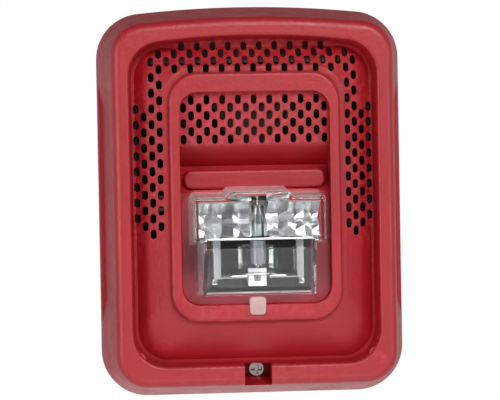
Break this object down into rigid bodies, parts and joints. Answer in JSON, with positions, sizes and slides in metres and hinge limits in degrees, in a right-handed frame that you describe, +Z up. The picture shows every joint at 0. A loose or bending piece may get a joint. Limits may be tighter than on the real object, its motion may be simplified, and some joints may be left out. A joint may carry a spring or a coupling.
{
  "type": "horn strobe",
  "caption": "Wall-mounted fire alarm horn strobe: red moulded head with slotted sound grille and clear strobe lens, hinged on a mounting plate",
  "frame": {"origin": "centre of the mounting plate's back face, on the wall, midway between its fixing holes", "axes": "+Y points into the wall, the device's front faces -Y; +Z is up; +X is to the right seen from the front"},
  "size_m": [0.112, 0.049, 0.143],
  "materials": {
    "red_plastic": "satin moulded",
    "clear_plastic": "clear moulded polycarbonate",
    "metallised": "vacuum metallised",
    "tube_glass": "clear",
    "bright_metal": "plated",
    "grey_metal": "matt",
    "black_plastic": "matt moulded",
    "white_plastic": "satin moulded",
    "grey_plastic": "matt moulded",
    "board_green": "dark solder mask",
    "brass": "plain",
    "ceramic_grey": "silvered",
    "ferrite": "matt",
    "rubber_black": "matt",
    "copper_zinc": "zinc plated"
  },
  "bodies": {
    "wall_base": {"mounting_plate": "grey_plastic", "terminal_block": "black_plastic", "terminal_contacts": "brass", "terminal_washers": "copper_zinc", "shorting_spring": "bright_metal"},
    "head": {"front_housing": "red_plastic", "strobe_lens": "clear_plastic", "lens_latch": "white_plastic", "reflector": "metallised", "flash_tube": "tube_glass", "trigger_band": "grey_metal", "tube_electrodes": "bright_metal", "rear_cover": "grey_plastic", "circuit_board": "board_green", "cover_screws": "copper_zinc", "board_screws": "copper_zinc", "horn_chamber": "black_plastic", "horn_gasket": "rubber_black", "piezo_disc": "brass", "piezo_ceramic": "ceramic_grey", "piezo_springs": "bright_metal", "brightness_rails": "black_plastic", "tone_switch_body": "black_plastic", "contact_blades": "bright_metal", "contact_header": "black_plastic", "flash_capacitor": "black_plastic", "trigger_transformer": "ferrite", "power_inductor": "ferrite", "microcontroller": "black_plastic", "small_components": "ferrite"},
    "brightness": {"brightness_slider": "white_plastic"},
    "tone": {"tone_dial": "white_plastic"},
    "screw_carriage": {"screw_clip": "bright_metal"},
    "screw": {"captive_screw": "copper_zinc"},
    "terminal_1": {"terminal_screw_1": "copper_zinc"},
    "terminal_2": {"terminal_screw_2": "copper_zinc"},
    "terminal_3": {"terminal_screw_3": "copper_zinc"},
    "terminal_4": {"terminal_screw_4": "copper_zinc"}
  },
  "joints": [
    {"name": "head_swing", "type": "hinge", "parent": "wall_base", "child": "head", "pos_m": [0, -0.0045, 0.0655], "axis": [-1, 0, 0], "range_deg": [0, 15]},
    {"name": "screw_travel", "type": "slide", "parent": "head", "child": "screw_carriage", "axis": [0, -1, 0], "range_m": [0, 0.0056]},
    {"name": "screw_turn", "type": "hinge", "parent": "screw_carriage", "child": "screw", "pos_m": [0, -0.01, -0.0608], "axis": [0, -1, 0], "range_deg": [0, 2520]},
    {"name": "brightness_slide", "type": "slide", "parent": "head", "child": "brightness", "axis": [1, 0, 0], "range_m": [-0.009, 0.009]},
    {"name": "tone_dial_turn", "type": "hinge", "parent": "head", "child": "tone", "pos_m": [0.027, -0.013, 0.004], "axis": [0, 1, 0], "continuous": true},
    {"name": "terminal_screw_1_turn", "type": "hinge", "parent": "wall_base", "child": "terminal_1", "pos_m": [-0.0165, -0.008, 0.0196], "axis": [0, -1, 0], "continuous": true},
    {"name": "terminal_screw_2_turn", "type": "hinge", "parent": "wall_base", "child": "terminal_2", "pos_m": [-0.0055, -0.008, 0.0196], "axis": [0, -1, 0], "continuous": true},
    {"name": "terminal_screw_3_turn", "type": "hinge", "parent": "wall_base", "child": "terminal_3", "pos_m": [0.0055, -0.008, 0.0196], "axis": [0, -1, 0], "continuous": true},
    {"name": "terminal_screw_4_turn", "type": "hinge", "parent": "wall_base", "child": "terminal_4", "pos_m": [0.0165, -0.008, 0.0196], "axis": [0, -1, 0], "continuous": true}
  ],
  "couplings": [
    {"joint": "screw_turn", "follows": "screw_travel", "rad_per_m": 7854}
  ]
}
